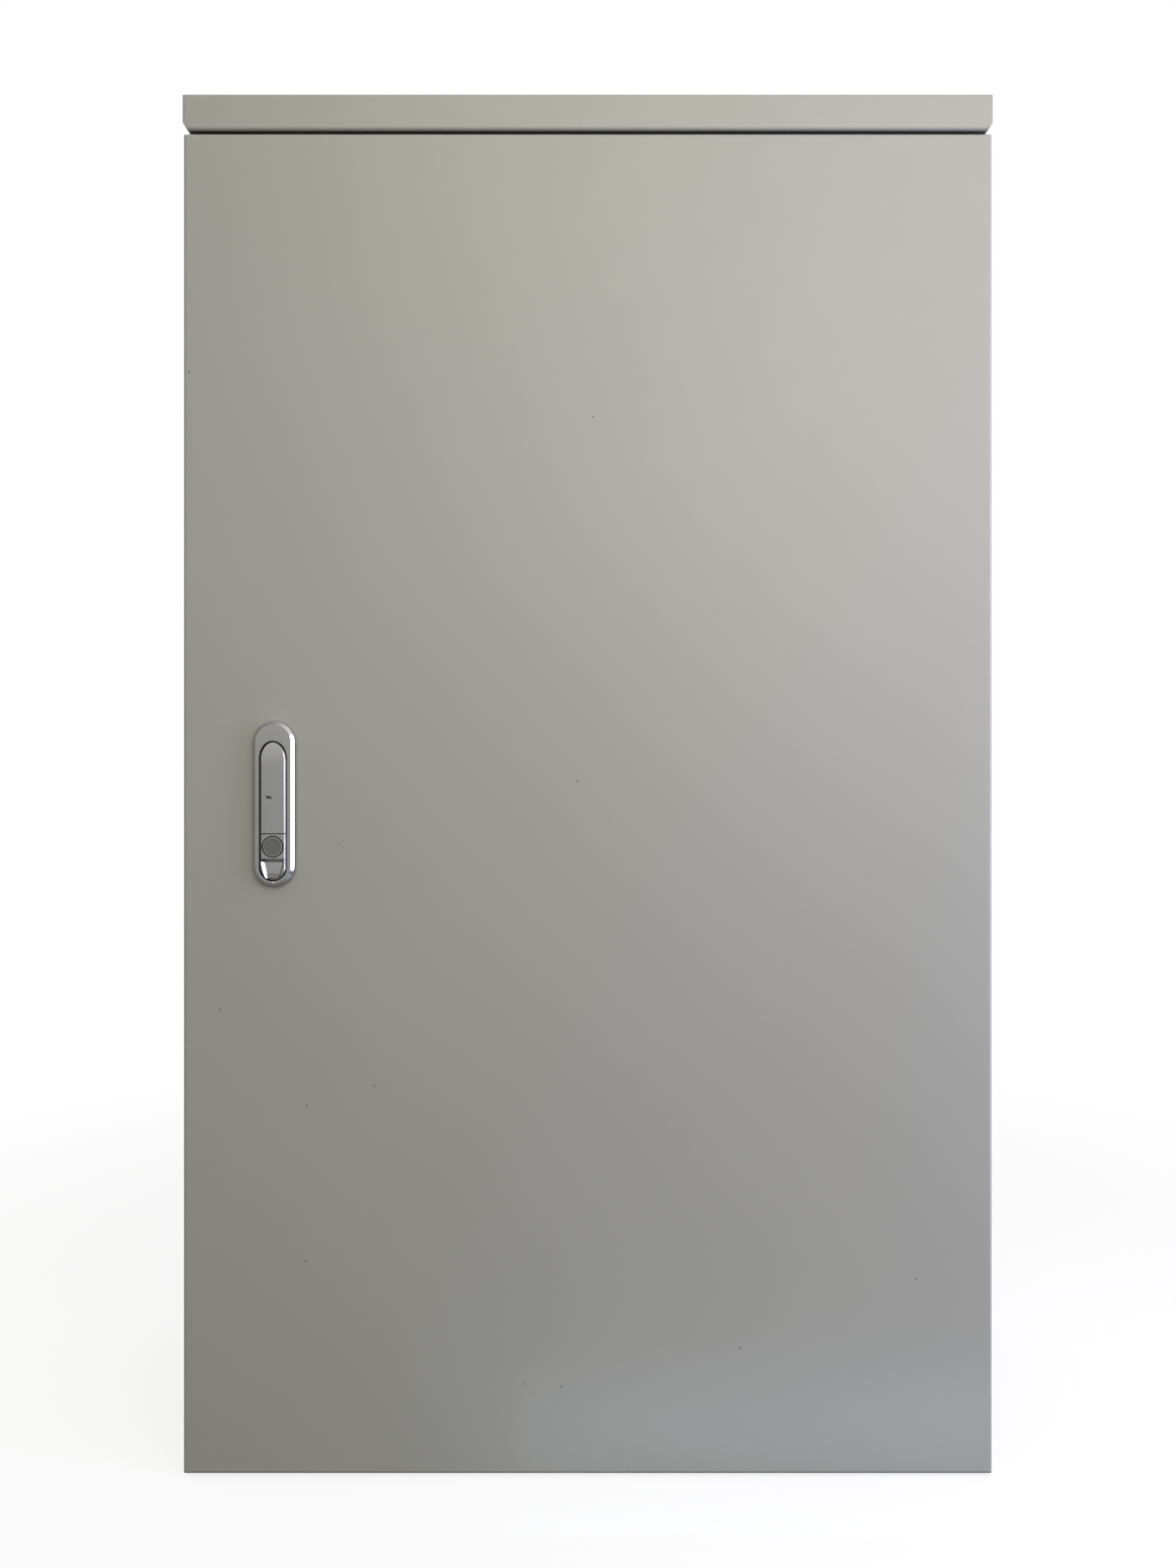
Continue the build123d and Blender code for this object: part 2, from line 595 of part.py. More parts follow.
def push_button():
    """The ribbed button: a groove below the block, a thumb scoop with ribs at its foot and a guide post."""
    half = HANDLE_W / 2
    front = -HANDLE_PROUD
    outline = upright_slot(HANDLE_W, BUTTON_BOTTOM, BUTTON_TOP + half)
    outline &= Pos(0, BUTTON_TOP) * Rectangle(HANDLE_W, LOCK_H, align=(Align.CENTER, Align.MAX))
    button = along_y(outline, front, BUTTON_BACK)
    rounded = [edge for edge in front_edges(button) if edge.center().Z < BUTTON_TOP - HANDLE_EDGE_R]
    button = fillet(rounded, HANDLE_EDGE_R)
    groove_w = half - HANDLE_EDGE_R
    groove_z = BUTTON_TOP - BUTTON_GROOVE_H
    button -= block(-groove_w, groove_w, front, front + BUTTON_GROOVE_D, groove_z, BUTTON_TOP)
    foot_z = BUTTON_BOTTOM + HANDLE_EDGE_R
    button -= thumb_scoop(groove_z, foot_z)
    slope = (BUTTON_SCOOP_D - BUTTON_SCOOP_FOOT) / (groove_z - foot_z)
    for i in range(BUTTON_RIBS):
        rise = (i + 0.5) * BUTTON_RIB_PITCH
        floor_y = front + BUTTON_SCOOP_FOOT + slope * rise
        rib = Box(BUTTON_RIB_W, 2 * BUTTON_RIB_H, BUTTON_RIB_PITCH / 2)
        button += Pos(0, floor_y, foot_z + rise) * rib
    post_l = TUB_D - BUTTON_BACK + LOCK_FLOOR
    return button + rod("y", BUTTON_POST_R, (0, BUTTON_BACK, BUTTON_POST_Z), post_l)


def leaf_spring(width, top, crown):
    """A strip bowed across the recess floor, its crown at depth crown."""
    foot = RECESS_D - SPRING_T
    bow = ThreePointArc((-width / 2, foot), (0, crown + SPRING_T / 2), (width / 2, foot))
    return along_z(trace(bow, SPRING_T), top - SPRING_W, top)


def lock_barrel():
    """The fixed cylinder housing, counterbored for the plug's face."""
    barrel = rod("y", BARREL_R, (0, -HANDLE_PROUD, CYLINDER_Z), HANDLE_PROUD + BARREL_END)
    face_depth = CYLINDER_SINK + SHUTTER_T + CYLINDER_FACE_T + KNUCKLE_GAP
    barrel -= rod("y", CYLINDER_R + 2 * RUNNING_FIT, (0, -HANDLE_PROUD, CYLINDER_Z), face_depth)
    return barrel - rod("y", PLUG_R + RUNNING_FIT, (0, -HANDLE_PROUD, CYLINDER_Z), HANDLE_PROUD + BARREL_END)


def key_cylinder():
    """The turning plug: slotted face, round shaft, square tail and threaded end."""
    face_y = CYLINDER_SINK + SHUTTER_T - HANDLE_PROUD
    plug = rod("y", CYLINDER_R, (0, face_y, CYLINDER_Z), CYLINDER_FACE_T)
    plug += rod("y", PLUG_R, (0, face_y, CYLINDER_Z), BARREL_END - face_y)
    square = TAIL_SQUARE / 2
    tail = block(-square, square, BARREL_END, TONGUE_Y + TONGUE_T, CYLINDER_Z - square, CYLINDER_Z + square)
    plug += tail & rod("y", PLUG_R, (0, BARREL_END, CYLINDER_Z), TONGUE_T + TONGUE_Y)
    plug += rod("y", M5, (0, TONGUE_Y + TONGUE_T, CYLINDER_Z), (NUT_HEIGHT + STUD_END / 2) * M5)
    half_w = KEYWAY_W / 2
    half_h = KEYWAY_H / 2
    return plug - block(-half_w, half_w, face_y, 0, CYLINDER_Z - half_h, CYLINDER_Z + half_h)


def lock_tongue():
    """The cam that reaches behind the frame. It hangs down when unlocked."""
    outline = upright_slot(TONGUE_W, CYLINDER_Z - TONGUE_REACH, CYLINDER_Z + TONGUE_W / 2)
    tongue = along_y(outline, TONGUE_Y, TONGUE_Y + TONGUE_T)
    square = TAIL_SQUARE / 2 + RUNNING_FIT
    return tongue - block(
        -square, square, TONGUE_Y, TONGUE_Y + TONGUE_T, CYLINDER_Z - square, CYLINDER_Z + square
    )


def lock_clamp(z, height, bore):
    """A bracket behind the housing, its legs on the door's inside."""
    reach = LOCK_W / 2
    leg = TUB_W / 2 + 2 * SCREW_FIT + CLAMP_T / 2
    clamp = block(-reach, reach, SHEET, TUB_D + CLAMP_T, z - height / 2, z + height / 2)
    clamp -= block(-leg, leg, SHEET, TUB_D, z - height / 2, z + height / 2)
    return clamp - rod("y", bore, (0, TUB_D, z), CLAMP_T)


def lock_screw():
    """The clamp's screw, its head at the back and its thread in the solid top of the housing."""
    seat = TUB_D + CLAMP_T
    length = seat - LOCK_FLOOR - SCREW_FIT
    head = rod("y", SCREW_HEAD_R * M4, (0, seat, CLAMP_SCREW_Z), M4)
    return head + rod("y", M4, (0, seat - length, CLAMP_SCREW_Z), length)


def breaker(size, nose_h, shoulder_d, toggle, back, x, z):
    """A stepped breaker case with seams between its poles, terminal recesses and a toggle pocket."""
    width, height, depth = size
    front = back - depth
    shoulder = back - shoulder_d
    profile = Rectangle(depth, nose_h, align=(Align.MIN, Align.CENTER))
    profile += Pos(shoulder - front, 0) * Rectangle(shoulder_d, height, align=(Align.MIN, Align.CENTER))
    profile = Pos(front, z) * fillet(profile.vertices(), CASE_EDGE_R)
    seam = profile - offset(profile, -CASE_SEAM)
    case = along_x(profile, x - width / 2, x + width / 2)
    pitch = width / POLES
    for joint in range(1, POLES):
        seam_x = x - width / 2 + joint * pitch
        case -= along_x(seam, seam_x - CASE_SEAM / 2, seam_x + CASE_SEAM / 2)
    terminal_h = (height - nose_h) / 2
    for pole in range(POLES):
        middle = x + (pole - (POLES - 1) / 2) * pitch
        for end in (-1, 1):
            terminal_z = z + end * (nose_h + terminal_h) / 2
            case -= block(
                middle - pitch / 4,
                middle + pitch / 4,
                shoulder,
                shoulder + TERMINAL_RECESS,
                terminal_z - terminal_h / 4,
                terminal_z + terminal_h / 4,
            )
    pocket_w = toggle["width"] + 2 * TOGGLE_GAP
    start = (x - pocket_w / 2, front + toggle["set_back"], z)
    return case - rod("x", toggle["drum_r"] + TOGGLE_GAP, start, pocket_w)


def breaker_toggle(toggle, front, x, z):
    """A drum with a lever, resting in its lower position."""
    pivot_y = front + toggle["set_back"]
    left = x - toggle["width"] / 2
    drum = rod("x", toggle["drum_r"], (left, pivot_y, z), toggle["width"])
    half = toggle["lever_t"] / 2
    lever = block(0, toggle["width"], -toggle["lever"], 0, -half, half)
    lever = fillet(front_edges(lever).filter_by(Axis.X), LEVER_TIP_R)
    return drum + Pos(left, pivot_y, z) * Rot(TOGGLE_SWING / 2, 0, 0) * lever


def main_screw_places():
    reach_x = MAIN_W / 2 - MAIN_SCREW_EDGE
    reach_z = MAIN_H / 2 - MAIN_SCREW_EDGE
    return [(i * reach_x, MAIN_Z + k * reach_z) for i, k in CORNERS]


def main_breaker():
    case = breaker((MAIN_W, MAIN_H, MAIN_D), MAIN_NOSE_H, MAIN_SHOULDER_D, MAIN_TOGGLE, PLATE_Y, 0, MAIN_Z)
    for x, z in main_screw_places():
        case -= rod("y", M4 + SCREW_FIT, (x, PLATE_Y - MAIN_SHOULDER_D, z), MAIN_SHOULDER_D)
    return case


def main_screws():
    length = MAIN_SHOULDER_D + PLATE_T + STUD_END * M4
    return [screw(M4, x, PLATE_Y - MAIN_SHOULDER_D, z, length) for x, z in main_screw_places()]


def branch_breaker(x):
    """A breaker with a slot across its back for the rail."""
    size = (BRANCH_W, BRANCH_H, BRANCH_D)
    case = breaker(size, BRANCH_NOSE_H, BRANCH_SHOULDER_D, BRANCH_TOGGLE, BRANCH_BACK_Y, x, RAIL_Z)
    half_w = BRANCH_W / 2
    half_h = RAIL_H / 2 + SCREW_FIT
    slot_y = RAIL_FACE_Y - SCREW_FIT
    return case - block(x - half_w, x + half_w, slot_y, BRANCH_BACK_Y, RAIL_Z - half_h, RAIL_Z + half_h)


def rail_screw_places():
    return [side * (RAIL_L / 2 - RAIL_SCREW_EDGE) for side in (-1, 1)]


def din_rail():
    """A slotted top-hat rail with its crown on the plate."""
    crown = RAIL_CROWN / 2
    edge = RAIL_H / 2
    hat = Polygon(
        (PLATE_Y, -crown),
        (PLATE_Y, crown),
        (RAIL_FACE_Y + RAIL_T, crown),
        (RAIL_FACE_Y + RAIL_T, edge),
        (RAIL_FACE_Y, edge),
        (RAIL_FACE_Y, crown - RAIL_T),
        (PLATE_Y - RAIL_T, crown - RAIL_T),
        (PLATE_Y - RAIL_T, RAIL_T - crown),
        (RAIL_FACE_Y, RAIL_T - crown),
        (RAIL_FACE_Y, -edge),
        (RAIL_FACE_Y + RAIL_T, -edge),
        (RAIL_FACE_Y + RAIL_T, -crown),
        align=None,
    )
    rail = Pos(0, 0, RAIL_Z) * along_x(hat, -RAIL_L / 2, RAIL_L / 2)
    for x in rail_screw_places():
        rail -= rod("y", M5 + SCREW_FIT, (x, PLATE_Y - RAIL_T, RAIL_Z), RAIL_T)
    slots = int((RAIL_L - 4 * RAIL_SCREW_EDGE) / RAIL_SLOT_PITCH)
    slot = SlotOverall(RAIL_SLOT_L, RAIL_SLOT_W)
    for i in range(slots):
        x = (i - (slots - 1) / 2) * RAIL_SLOT_PITCH
        rail -= along_y(Pos(x, RAIL_Z) * slot, PLATE_Y - RAIL_T, PLATE_Y)
    return rail


def rail_screws():
    length = RAIL_T + PLATE_T + STUD_END * M5
    return [screw(M5, x, PLATE_Y - RAIL_T, RAIL_Z, length) for x in rail_screw_places()]


def bar_post_places(x):
    return [x + side * (BAR_L / 2 - BAR_POST_R) for side in (-1, 1)]


def bar_screw_places(x):
    pitch = (BAR_L - 6 * BAR_POST_R) / (BAR_SCREWS - 1)
    return [x + (i - (BAR_SCREWS - 1) / 2) * pitch for i in range(BAR_SCREWS)]


def bar_posts(x):
    """Two posts with a screw hole in their front ends."""
    y0 = PLATE_Y - BAR_POST_H
    hole = BAR_POST_H / 2
    return [
        rod("y", BAR_POST_R, (px, y0, BAR_Z), BAR_POST_H) - rod("y", M5 + RUNNING_FIT, (px, y0, BAR_Z), hole)
        for px in bar_post_places(x)
    ]


def terminal_bar(x):
    back = PLATE_Y - BAR_POST_H
    bar = block(x - BAR_L / 2, x + BAR_L / 2, back - BAR_T, back, BAR_Z - BAR_H / 2, BAR_Z + BAR_H / 2)
    for px in bar_post_places(x) + bar_screw_places(x):
        bar -= rod("y", M5 + RUNNING_FIT, (px, back - BAR_T, BAR_Z), BAR_T)
    return bar


def bar_screws(x):
    """Terminal screws through the bar, and a longer pair into the posts."""
    seat = PLATE_Y - BAR_POST_H - BAR_T
    lengths = [(px, BAR_T) for px in bar_screw_places(x)]
    lengths += [(px, BAR_T + BAR_POST_H / 2) for px in bar_post_places(x)]
    return [screw(M5, px, seat, BAR_Z, length) for px, length in lengths]


def save(name, shape):
    shape = Compound(children=shape) if isinstance(shape, list) else shape
    export_step(shape, f"parts/{name}.step")


def save_cabinet():
    save("body_wrap", body_wrap())
    save("back_panel", back_panel())
    save("rain_hood", rain_hood())
    save("hood_bolts", hood_bolts())
    save("hood_nuts", hood_nuts())
    layers = GLAND_GASKET_T + PLATE_T
    stud_l = layers + (NUT_HEIGHT + STUD_END) * M5
    save("gland_gasket", gland_layer(SHEET, GLAND_GASKET_T, True))
    save("gland_plate", gland_layer(SHEET + GLAND_GASKET_T, PLATE_T, False))
    save("gland_studs", [rod("z", M5, (x, y, SHEET), stud_l) for x, y in gland_stud_places()])
    save("gland_nuts", [nut("z", M5, (x, y, SHEET + layers)) for x, y in gland_stud_places()])
    stud_x = HALF_W - SHEET - EARTH_STUD_L
    save("earth_stud", rod("x", M8, (stud_x, MID_Y, EARTH_STUD_Z), EARTH_STUD_L))
    save("earth_nut", nut("x", M8, (stud_x + STUD_END * M8, MID_Y, EARTH_STUD_Z)))


def save_door():
    save("door_panel", door_panel())
    save("door_gasket", door_gasket())
    save("door_stiffener", door_stiffener())
    stud_x = DOOR_W / 4
    inner = DOOR_Y + SHEET
    nut_y = inner + DOOR_STUD_L - (NUT_HEIGHT + STUD_END) * M6
    save("door_earth_stud", rod("y", M6, (stud_x, inner, EARTH_STUD_Z), DOOR_STUD_L))
    save("door_earth_nut", nut("y", M6, (stud_x, nut_y, EARTH_STUD_Z)))
    for name, z in zip(("lower", "middle", "upper"), HINGE_Z):
        save(f"hinge_frame_leaf_{name}", hinge_frame_leaf(z))
        save(f"hinge_door_leaf_{name}", hinge_door_leaf(z))
        save(f"hinge_pin_{name}", hinge_pin(z))


def save_lock():
    nut_seat = (0, TUB_D + CLAMP_T, CYLINDER_Z)
    barrel_nut = hexagon("y", BARREL_NUT_FLATS, nut_seat, BARREL_NUT_T)
    barrel_nut -= rod("y", BARREL_R + RUNNING_FIT, nut_seat, BARREL_NUT_T)
    handle_crown = HANDLE_T - HANDLE_PROUD + KNUCKLE_GAP
    button_crown = BUTTON_BACK + KNUCKLE_GAP
    pieces = {
        "lock_escutcheon": lock_escutcheon(),
        "lock_handle": lock_handle(),
        "handle_pin": handle_pin(),
        "handle_spring": leaf_spring(HANDLE_SPRING_L, 0, handle_crown),
        "push_button": push_button(),
        "button_spring": leaf_spring(
            BUTTON_SPRING_L, BUTTON_POST_Z - BUTTON_POST_R - SPLIT_GAP, button_crown
        ),
        "lock_barrel": lock_barrel(),
        "barrel_nut": barrel_nut,
        "key_cylinder": key_cylinder(),
        "keyhole_shutter": rod("y", CYLINDER_R, (0, CYLINDER_SINK - HANDLE_PROUD, CYLINDER_Z), SHUTTER_T),
        "lock_tongue": lock_tongue(),
        "tongue_nut": nut("y", M5, (0, TONGUE_Y + TONGUE_T, CYLINDER_Z)),
        "lock_clamp_upper": lock_clamp(CLAMP_SCREW_Z, CLAMP_H, M4 + SCREW_FIT),
        "lock_clamp_lower": lock_clamp(CYLINDER_Z, CLAMP_H + 2 * PLUG_R, BARREL_R + SCREW_FIT),
        "lock_screw": lock_screw(),
    }
    for name, piece in pieces.items():
        save(name, LOCK_PLACE * piece)


def save_inside():
    save("mounting_plate", mounting_plate())
    save("plate_posts", plate_posts())
    save("plate_nuts", plate_nuts())
    save("main_breaker", main_breaker())
    save("main_screws", main_screws())
    save("main_toggle", breaker_toggle(MAIN_TOGGLE, PLATE_Y - MAIN_D, 0, MAIN_Z))
    save("din_rail", din_rail())
    save("rail_screws", rail_screws())
    for i, x in enumerate(BRANCH_X, start=1):
        save(f"branch_breaker_{i}", branch_breaker(x))
        save(f"branch_toggle_{i}", breaker_toggle(BRANCH_TOGGLE, BRANCH_BACK_Y - BRANCH_D, x, RAIL_Z))
    for name, side in (("neutral", -1), ("earth", 1)):
        save(f"{name}_bar", terminal_bar(side * BAR_X))
        save(f"{name}_posts", bar_posts(side * BAR_X))
        save(f"{name}_bar_screws", bar_screws(side * BAR_X))


os.makedirs("parts", exist_ok=True)
save_cabinet()
save_door()
save_lock()
save_inside()
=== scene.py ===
"""Looks for the distribution box: materials, small surface details, floor, light and camera, in metres."""

import json
from math import asin, cos, pi, radians, sin

import bmesh
import bpy
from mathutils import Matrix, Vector, noise


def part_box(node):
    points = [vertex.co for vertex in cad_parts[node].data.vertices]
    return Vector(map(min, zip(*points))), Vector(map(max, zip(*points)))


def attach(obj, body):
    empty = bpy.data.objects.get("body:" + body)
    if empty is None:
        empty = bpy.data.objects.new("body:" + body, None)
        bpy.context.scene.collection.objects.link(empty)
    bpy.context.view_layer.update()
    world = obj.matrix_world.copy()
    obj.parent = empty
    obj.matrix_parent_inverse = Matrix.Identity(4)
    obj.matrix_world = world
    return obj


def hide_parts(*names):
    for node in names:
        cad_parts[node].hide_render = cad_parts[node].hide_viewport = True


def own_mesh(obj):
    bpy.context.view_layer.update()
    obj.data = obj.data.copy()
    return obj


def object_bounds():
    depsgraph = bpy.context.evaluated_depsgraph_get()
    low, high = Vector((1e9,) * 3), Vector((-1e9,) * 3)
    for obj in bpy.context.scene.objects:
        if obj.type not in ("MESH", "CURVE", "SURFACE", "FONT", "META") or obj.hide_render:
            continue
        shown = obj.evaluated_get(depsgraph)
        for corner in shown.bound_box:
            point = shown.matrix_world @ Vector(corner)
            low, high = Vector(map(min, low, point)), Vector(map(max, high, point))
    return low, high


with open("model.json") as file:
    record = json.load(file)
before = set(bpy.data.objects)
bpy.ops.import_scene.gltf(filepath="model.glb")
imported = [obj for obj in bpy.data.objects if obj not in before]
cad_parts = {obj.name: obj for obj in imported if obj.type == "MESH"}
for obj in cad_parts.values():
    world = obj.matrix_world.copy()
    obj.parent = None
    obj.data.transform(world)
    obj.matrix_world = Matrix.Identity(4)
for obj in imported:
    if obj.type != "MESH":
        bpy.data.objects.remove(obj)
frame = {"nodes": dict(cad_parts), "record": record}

# The photograph, in pixels
PHOTO_W = 1200
PHOTO_H = 1600
BOX_LEFT = 186.5
BOX_RIGHT = 1013.0
BOX_TOP = 97.0
BOX_BOTTOM = 1502.5
PAINT_SPECKS = [
    (193, 380), (605, 425), (589, 797), (224, 1030), (382, 1108), (313, 1128),
    (312, 1287), (535, 1412), (572, 1415), (755, 1375), (935, 1305),
]
PAINT_NIBS = [(346.6, 861.2), (351.0, 858.0)]
HANDLE_CHIP = [(272.9, 813.2), (275.3, 813.9)]
RIM_NUB = (278.5, 901.0)

# Camera
CAMERA_D = 0.85  # from the box's outline
FOLD = 0.0022  # how far behind the door's face the outline lies, on the rounded folds
SENSOR = 36.0  # mm, along the image's long side

# Light
LAMPS = {  # place, aim, width and height, power in watts, colour
    "key": ((0.50, -0.93, 0.96), (0.16, -0.10, 0.67), (1.0, 1.0), 3.8, (1.0, 0.97, 0.89)),
    "top": ((0.15, -1.30, 1.45), (0.05, -0.10, 0.75), (1.2, 1.2), 6.6, (0.98, 1.0, 0.75)),
    "side": ((0.95, -0.45, 0.55), (-0.23, -0.12, 0.50), (0.4, 1.2), 8.8, (0.62, 0.63, 1.0)),
    "bounce": ((0.15, -0.19, 0.004), (0.15, -0.14, 0.05), (0.42, 0.07), 0.077, (0.6, 0.77, 1.0)),
}
WHITE = (1.0, 1.0, 1.0)
FILL = 0.79
FILL_COLOUR = (0.97, 0.965, 0.96)

# What reflections see of the studio: how bright it is in three places, each with the span of a
# direction's X or Z over which it turns white
DARK_SIDE = 0.25  # on the left
SIDE_SPAN = (-0.95, 0.3)
DARK_LOW = 0.6  # at eye level and below
LOW_SPAN = (0.03, 0.18)
DARK_FLOOR = 0.32  # on the floor, times the one before
DOWN_SPAN = (-0.4, -0.12)

# Floor
FLOOR_SIZE = 30.0
FLOOR_NEAR = 0.6  # from the middle to where the shadow starts to fade
FLOOR_FAR = 1.3  # and to where it has gone
FLOOR_SHADE = 0.22  # share of the floor's look that takes shadow
FLOOR_PALE = (0.9, 0.9, 0.9)
FLOOR_DARK = (0.06, 0.06, 0.06)  # as the light that it throws back sees it

# Materials
EVEN = (1.0, 1.0, 1.0)
BRUSHED = (0.1, 1.0, 1.0)  # the grain is drawn out along X
MOTTLE_DETAIL = 4.0
GLOSS_DETAIL = 3.0
GLOSS_FINER = 9  # waves of the roughness to one of the colour
RELIEF_DETAIL = 2.0
# Painted shade in corners and gaps: the base colour darkens where ambient occlusion finds little open air
CREVICE_SHADE_SAMPLES = 8
CREVICE_SHADE_SPAN = (0.3, 0.75)  # share of open air, from full painted shade to none

# Small details
SPECK_RADII = Vector((0.00055, 0.00012, 0.00055))
NIB_RADII = Vector((0.0014, 0.00005, 0.0010))
CHIP_RADII = Vector((0.0013, 0.00003, 0.0009))
NUB_RADII = Vector((0.0012, 0.0007, 0.0008))
NUB_SINK = 0.0013  # behind the housing's foremost face
BEAD_SPLITS = 3
BEAD_UNEVEN = 0.35
BEAD_WAVES = 1.3  # to a radius
BEAD_SHIFT = 1000  # sets each bead's waves apart by its place
BRANCH_TERMINALS = (0.03175, 0.0410, 0.0036)
TERMINALS = {  # from the case's middle to a terminal's, from its back to the recess floor, head radius
    "main_breaker": (0.0570, 0.0550, 0.0060),
    "branch_breaker_1": BRANCH_TERMINALS,
    "branch_breaker_2": BRANCH_TERMINALS,
    "branch_breaker_3": BRANCH_TERMINALS,
}
POLES = 3
HEAD_T = 0.0018
HEAD_SLOT_D = 0.0008
HEAD_SLOT_W = 0.3  # of the radius
HEAD_STEPS = 20
MERGE = 1e-6
SHARP = 30  # degrees between faces from which an edge looks sharp

cad_low, cad_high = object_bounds()
door_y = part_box("door_panel")[0].y
outline_y = door_y + FOLD
handle_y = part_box("lock_handle")[0].y
rim_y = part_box("lock_escutcheon")[0].y + NUB_SINK
px_per_m = (BOX_RIGHT - BOX_LEFT) / (cad_high.x - cad_low.x)
middle_px = (BOX_LEFT + BOX_RIGHT) / 2
middle_py = (BOX_TOP + BOX_BOTTOM) / 2
door_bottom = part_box("door_panel")[0].z
middle_z = (door_bottom + cad_high.z) / 2


def on_front(pixel, y):
    """The point at that depth which the camera sees at that pixel."""
    px, py = pixel
    nearness = 1 - (outline_y - y) / CAMERA_D
    x = (PHOTO_W / 2 - middle_px + nearness * (px - PHOTO_W / 2)) / px_per_m
    z = middle_z - (PHOTO_H / 2 - middle_py + nearness * (py - PHOTO_H / 2)) / px_per_m
    return Vector((x, y, z))


def node(tree, kind, settings, inputs):
    """A shader node; an input that is a socket is linked, and any other is set."""
    made = tree.nodes.new(kind)
    for key, value in settings.items():
        setattr(made, key, value)
    for key, value in inputs.items():
        socket = made.inputs[key]
        if isinstance(value, bpy.types.NodeSocket):
            tree.links.new(value, socket)
        else:
            socket.default_value = value
    return made


def maths(tree, operation, first, second):
    """The result of one operation on two numbers."""
    inputs = {0: first, 1: second}
    return node(tree, "ShaderNodeMath", {"operation": operation}, inputs).outputs["Value"]


def eased(tree, value, start, end, low, high):
    """A smooth step from low to high as the value goes from start to end."""
    limits = {"Value": value, "From Min": start, "From Max": end, "To Min": low, "To Max": high}
    made = node(tree, "ShaderNodeMapRange", {"interpolation_type": "SMOOTHSTEP"}, limits)
    return made.outputs["Result"]


def grain(tree, scale, detail, stretch):
    """Noise fixed to the piece, with that many waves to a metre."""
    place = node(tree, "ShaderNodeTexCoord", {}, {}).outputs["Object"]
    moved = node(tree, "ShaderNodeMapping", {}, {"Vector": place, "Scale": stretch})
    inputs = {"Vector": moved.outputs["Vector"], "Scale": scale, "Detail": detail}
    return node(tree, "ShaderNodeTexNoise", {}, inputs).outputs["Fac"]


def opaque(colour):
    """The colour with a full alpha, as a socket takes it."""
    return (*colour, 1.0)


def shaded(colour, factor):
    """The colour, darker or lighter, as a socket takes it."""
    return opaque(factor * c for c in colour)


def tint(tree, share, first, second):
    """A mix of two colours, each a socket or its numbers."""
    inputs = {0: share, 6: first, 7: second}
    return node(tree, "ShaderNodeMix", {"data_type": "RGBA"}, inputs).outputs[2]


def mixed(tree, share, first, second):
    """A mix of two shaders."""
    inputs = {0: share, 1: first, 2: second}
    return node(tree, "ShaderNodeMixShader", {}, inputs).outputs["Shader"]


def surface(name, colour, vary, mottle, rough, relief, metallic=0.0, stretch=EVEN, crevice_shade=None):
    """A material whose colour, roughness and relief all vary over the surface.

    vary is the colour's spread, mottle the waves to a metre of that spread, rough the lowest and highest
    roughness, relief the waves to a metre and the depth in metres of the bumps, stretch the scale of all
    of these along X, Y and Z, and the last argument the reach in metres of the painted shade in corners
    and gaps and how dark it is there.
    """
    material = bpy.data.materials.new(name)
    material.use_nodes = True
    tree = material.node_tree
    shader = tree.nodes["Principled BSDF"]
    shader.inputs["Metallic"].default_value = metallic

    cloud = grain(tree, mottle, MOTTLE_DETAIL, stretch)
    shade = tint(tree, cloud, shaded(colour, 1 - vary), shaded(colour, 1 + vary))
    # painted shade: the base colour is darkened where ambient occlusion finds corners and gaps
    if crevice_shade:
        reach, dark = crevice_shade
        open_air = node(
            tree, "ShaderNodeAmbientOcclusion", {"samples": CREVICE_SHADE_SAMPLES}, {"Distance": reach}
        )
        shadiest, unshaded = CREVICE_SHADE_SPAN
        limits = {"Value": open_air.outputs["AO"], "From Min": shadiest, "From Max": unshaded}
        share = node(tree, "ShaderNodeMapRange", {}, limits).outputs["Result"]
        shade = tint(tree, share, shaded(colour, 1 - dark), shade)
    tree.links.new(shade, shader.inputs["Base Color"])

    low, high = rough
    gloss = grain(tree, GLOSS_FINER * mottle, GLOSS_DETAIL, stretch)
    limits = {"Value": gloss, "To Min": low, "To Max": high}
    gloss = node(tree, "ShaderNodeMapRange", {}, limits).outputs["Result"]
    tree.links.new(gloss, shader.inputs["Roughness"])

    waves, depth = relief
    height = grain(tree, waves, RELIEF_DETAIL, stretch)
    bump = node(tree, "ShaderNodeBump", {}, {"Strength": 1.0, "Distance": depth, "Height": height})
    tree.links.new(bump.outputs["Normal"], shader.inputs["Normal"])
    return material


def mesh_of(name, made):
    """The mesh that a bmesh makes, which is freed."""
    mesh = bpy.data.meshes.new(name)
    made.to_mesh(mesh)
    made.free()
    return mesh


def add_piece(name, mesh, material, body):
    """A piece of that mesh and material, which moves with the body."""
    mesh.materials.clear()
    mesh.materials.append(material)
    piece = bpy.data.objects.new(name, mesh)
    bpy.context.scene.collection.objects.link(piece)
    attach(piece, body)
    return piece


def whole(made):
    """All that a bmesh holds."""
    return made.verts[:] + made.edges[:] + made.faces[:]


def cut_hood():
    """The hood with its left half on both sides, because the solid's right front corner isn't cut away."""
    made = bmesh.new()
    made.from_mesh(frame["nodes"]["rain_hood"].data)
    bmesh.ops.remove_doubles(made, verts=made.verts[:], dist=MERGE)
    bmesh.ops.bisect_plane(
        made, geom=whole(made), plane_co=(0, 0, 0), plane_no=(1, 0, 0), clear_outer=True
    )
    bmesh.ops.mirror(made, geom=whole(made), axis="X", merge_dist=MERGE)
    bmesh.ops.recalc_face_normals(made, faces=made.faces[:])
    mesh = mesh_of("cut_hood", made)
    if "custom_normal" in mesh.attributes:
        mesh.attributes.remove(mesh.attributes["custom_normal"])
    mesh.shade_smooth()
    mesh.set_sharp_from_angle(angle=radians(SHARP))
    hood = add_piece("cut_hood", mesh, looks["painted_steel"], "cabinet")
    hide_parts("rain_hood")


